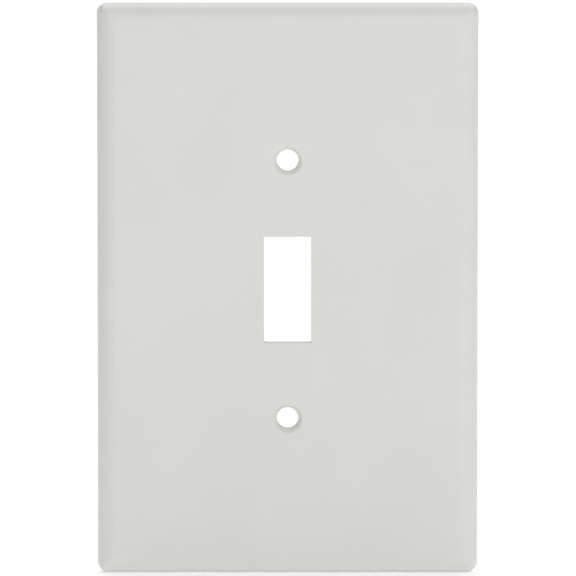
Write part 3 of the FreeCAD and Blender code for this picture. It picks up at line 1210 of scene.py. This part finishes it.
@dataclass
class MountingScrew:
    """A slotted oval-head machine screw, standing head up. Sizes are in mm."""

    node: str
    enamel: Material
    zinc: Material
    threads: ThreadTree
    major_radius: float = 1.7525
    thread_depth: float = 0.487
    pitch: float = 0.79375
    neck: float = 0.8
    tip_chamfer: float = 0.5
    dome_height: float = 1.1
    edge_band: float = 0.15
    cone_half_angle: float = 41.0
    slot_width: float = 1.1
    slot_depth: float = 1.45
    slot_ease: float = 0.07
    rim_ease: float = 0.03
    fade_turns: float = 0.5  # how long the thread takes to rise at its tip and to end
    pole_radius: float = 0.02  # of the tiny flat that closes a turned end
    rolled_gap: float = 0.06  # how far the plain shank is inside the thread's crests
    around: int = 72
    dome_cuts: int = 16
    sharp_deg: float = 36.0  # edges of the finished piece that turn by more stay sharp

    def __post_init__(self) -> None:
        """Works out where the screw's features are, in metres."""
        low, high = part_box(self.node)
        half_slot = self.slot_width * MM / 2
        self.centre = Vector(((low.x + high.x) / 2, (low.y + high.y) / 2, 0))
        self.head_radius = (high.y - low.y) / 2
        height = self.dome_height * MM
        self.dome_radius = (self.head_radius**2 + height**2) / (2 * height)
        lost = self.dome_radius - math.sqrt(self.dome_radius**2 - half_slot**2)
        self.apex_z = high.z + lost  # the slot cuts away the top of the dome
        self.rim_z = self.apex_z - height
        self.tip_z = low.z
        spread = self.head_radius - self.major_radius * MM
        cone_height = spread / math.tan(math.radians(self.cone_half_angle))
        self.neck_z = self.rim_z - self.edge_band * MM - cone_height

    def build(self) -> Made:
        """Builds the screw, and returns the finished piece."""
        screw = object_from(self.node + "_finished", self._shank(), self.zinc)
        combine(screw, [(Join.ADD, self._ridge()), (Join.ADD, self._head())])
        return smooth_surface(screw, self.sharp_deg)

    def _turned(self, outline: Outline) -> Solid:
        """Turns an outline of (radius, height), in metres, round the screw's axis."""
        return lathe(self.centre, UP, ACROSS, outline, self.around)

    def _shank(self) -> Solid:
        """The shank without its thread: chamfered tip, thread root and plain neck."""
        pole, chamfer = self.pole_radius * MM, self.tip_chamfer * MM
        root = (self.major_radius - self.thread_depth) * MM
        plain = (self.major_radius - self.rolled_gap) * MM
        neck_end = self.neck_z - self.neck * MM
        outline = [
            (pole, self.tip_z),
            (root - chamfer / 2, self.tip_z),
            (root, self.tip_z + chamfer / 2),
            (root, neck_end - (plain - root)),
            (plain, neck_end),
            (plain, self.neck_z + chamfer / 4),
            (pole, self.neck_z + chamfer / 4),
        ]
        return self._turned(outline)

    def _ridge(self) -> Made:
        """The thread's ridge, from the chamfered tip to the neck."""
        start_z = self.tip_z + self.pitch * MM / 2
        turns = (self.neck_z - self.neck * MM - start_z) / (self.pitch * MM)
        sizes = {
            "Start": (self.centre.x, self.centre.y, start_z),
            "Root radius": (self.major_radius - self.thread_depth) * MM,
            "Depth": self.thread_depth * MM,
            "Pitch": self.pitch * MM,
            "Turns": turns,
            "Sink": self.thread_depth * MM / 6,
            "Fade": self.fade_turns / turns,
        }
        return self.threads.run(self.node + "_ridge", self.zinc, sizes)

    def _head(self) -> Made:
        """The enamelled head: cone, edge and dome, with the drive slot cut in it."""
        ease, rim = self.rim_ease * MM, self.head_radius
        band_z = self.rim_z - self.edge_band * MM
        outline = [
            ((self.major_radius - self.rolled_gap) * MM, self.neck_z - self.rolled_gap * MM),
            (self.major_radius * MM, self.neck_z),
            (rim - ease, band_z - ease),
            (rim, band_z + ease),
            (rim, self.rim_z - ease),
        ]
        half_angle = math.asin(rim / self.dome_radius)
        for cut in range(1, self.dome_cuts):
            angle = half_angle * (1 - cut / self.dome_cuts)
            fall = self.dome_radius * (1 - math.cos(angle))
            outline.append((self.dome_radius * math.sin(angle), self.apex_z - fall))
        outline.append((self.pole_radius * MM, self.apex_z))
        head = object_from(self.node + "_head", self._turned(outline), self.enamel)
        return combine(head, [(Join.CUT, self._drive_slot_cutter())])

    def _drive_slot_cutter(self) -> Made:
        """The solid that cuts the drive slot, with eased corners at its floor."""
        half, ease, reach = self.slot_width * MM / 2, self.slot_ease * MM, 2 * self.head_radius
        floor_z, clear_z = self.apex_z - self.slot_depth * MM, self.apex_z + reach
        section = [
            (half - ease, floor_z),
            (half, floor_z + ease),
            (half, clear_z),
            (-half, clear_z),
            (-half, floor_z + ease),
            (ease - half, floor_z),
        ]
        ends = [
            [self.centre + Vector((side * reach, y, z)) for y, z in section] for side in (-1, 1)
        ]
        return object_from("drive_slot_cutter", loft(ends), self.enamel)


# ---- The studio --------------------------------------------------------------------------------


def look_at(made: Made, target: Vector, azimuth: float, elevation: float, distance: float) -> None:
    """Places a light or a camera round a target, facing it.

    Args:
        made: The object.
        target: What it faces, in metres.
        azimuth: Degrees round from the front, positive to the viewer's right.
        elevation: Degrees above the horizon.
        distance: Metres from the target.
    """
    around, above = math.radians(azimuth), math.radians(elevation)
    level = ACROSS * math.sin(around) - INWARD * math.cos(around)
    away = level * math.cos(above) + UP * math.sin(above)
    turn = (-away).to_track_quat("-Z", "Y").to_matrix().to_4x4()
    made.matrix_world = Matrix.Translation(target + away * distance) @ turn


@dataclass(frozen=True)
class Softbox:
    """A square studio softbox."""

    name: str
    azimuth: float  # degrees round from the front, positive to the viewer's right
    elevation: float  # degrees above the horizon
    distance: float  # metres
    width: float  # metres
    power: float  # watts
    behind: float = 0.0  # metres from the plate back to what it faces

    def build(self, middle: Vector) -> Made:
        """Makes the light, given the plate's middle in metres."""
        lamp = bpy.data.lights.new(self.name, "AREA")
        lamp.size = self.width
        lamp.energy = self.power
        made = make_object(self.name, lamp)
        target = middle + INWARD * self.behind
        look_at(made, target, self.azimuth, self.elevation, self.distance)
        return made


@dataclass(frozen=True)
class Studio:
    """The floor, the lights and the camera."""

    floor_size: float = 12.0  # metres
    world_colour: str = "#F4F6F8"
    world_strength: float = 0.36
    camera_elevation: float = 5.0  # degrees
    camera_azimuth: float = 0.0
    camera_distance: float = 1.6  # metres
    view_height: float = 134.6  # mm of the plate that the square view covers
    sensor: float = 36.0  # mm
    aim_x: float = 0.1  # mm from the plate's middle to the view's middle
    aim_z: float = 0.08
    lights: tuple[Softbox, ...] = (
        Softbox("backdrop_softbox", 180.0, 90.0, 1.8, 3.2, 42.0, behind=1.8),
        Softbox("left_softbox", -58.0, 44.0, 1.7, 0.22, 0.3),
        Softbox("right_softbox", 58.0, 44.0, 1.7, 0.22, 1.6),
        Softbox("front_softbox", 14.0, 32.0, 1.7, 1.5, 10.0),
    )

    def build(self, low: Vector, high: Vector) -> None:
        """Builds the studio round a box, given its lowest and its highest corner."""
        middle = (low + high) / 2
        self._floor(low.z)
        self._world()
        for light in self.lights:
            light.build(middle)
            LOG.info("light %s", light.name)
        self._camera(middle)

    def _floor(self, z: float) -> None:
        """Lays the light table that the plate stands on."""
        sheet = bmesh.new()
        bmesh.ops.create_grid(sheet, x_segments=4, y_segments=4, size=self.floor_size / 2)
        bmesh.ops.translate(sheet, verts=sheet.verts, vec=(0, 0, z))
        object_from("studio_floor", sheet, LightTable().build())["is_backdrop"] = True

    def _world(self) -> None:
        """Fills the room with even, dim light."""
        world = bpy.data.worlds.new("studio_room")
        bpy.context.scene.world = world
        world.use_nodes = True
        looks = {"Color": linear_colour(self.world_colour), "Strength": self.world_strength}
        feed(world.node_tree, world.node_tree.nodes["Background"], looks)

    def _camera(self, middle: Vector) -> None:
        """Sets up the camera in front of the plate and a little above it."""
        lens = bpy.data.cameras.new("studio_camera")
        lens.sensor_width = self.sensor
        lens.lens = self.sensor * self.camera_distance / (self.view_height * MM)
        lens.clip_start = 0.05
        lens.clip_end = 50.0
        camera = make_object("studio_camera", lens)
        aim = middle + ACROSS * self.aim_x * MM + UP * self.aim_z * MM
        look_at(camera, aim, self.camera_azimuth, self.camera_elevation, self.camera_distance)
        bpy.context.scene.camera = camera
        bpy.context.scene.view_settings.view_transform = "Standard"


# ---- Assembly ----------------------------------------------------------------------------------


SCREW_NODES = {"left_screw": "left_mounting_screw", "right_screw": "right_mounting_screw"}


def describe_screws() -> dict[str, MountingScrew]:
    """Describes the screw that each moving body carries.

    Returns:
        Each screw, by its body's name.
    """
    low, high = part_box(SCREW_NODES["left_screw"])
    slot_width = MountingScrew.slot_width * MM
    enamel = BakedEnamel(slot_y=(low.y + high.y) / 2, slot_width=slot_width).build()
    zinc = ZincPlate().build()
    threads = ThreadTree()
    return {body: MountingScrew(node, enamel, zinc, threads) for body, node in SCREW_NODES.items()}


def describe_plate(screws: Sequence[MountingScrew]) -> WallPlateMoulding:
    """Describes the moulding round the screws that it carries.

    Args:
        screws: The screws.

    Returns:
        The moulding.
    """
    return WallPlateMoulding(
        datums=Datums.read(frame["record"]),
        carried=screws[0],
        keeper_places=tuple(Vector((screw.centre.x, 0, 0)) for screw in screws),
        travel=max(joint["range_m"][1] for joint in frame["joints"]),
        polished=MouldedThermoset().build(),
        satin=MouldedThermoset(
            name="compression_moulded_urea_satin",
            roughness=0.52,
            ripple_height=0.003,
            grain_height=0.002,
        ).build(),
    )


def install(piece: Made, body: str, node: str) -> None:
    """Sets a finished piece on its body in place of its CAD node.

    Args:
        piece: The finished piece.
        body: The body that it rides on.
        node: The CAD node that it replaces.
    """
    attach(piece, body)
    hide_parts(node)
    LOG.info("%s rides on %s, with %d faces", piece.name, body, len(piece.data.polygons))


def main() -> None:
    """Builds every piece, sets each on its body and sets up the studio."""
    logging.basicConfig(level=logging.INFO, format="%(name)s: %(message)s")
    screws = describe_screws()
    plate = describe_plate(list(screws.values()))
    install(plate.build(), "plate", "wall_plate")
    for body, screw in screws.items():
        install(screw.build(), body, screw.node)
    Studio().build(*CAD_BOX)
    boxes = {"cad": CAD_BOX, "visual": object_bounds()}
    {key: [list(corner) for corner in box] for key, box in boxes.items()}


if __name__ == "__main__":
    main()
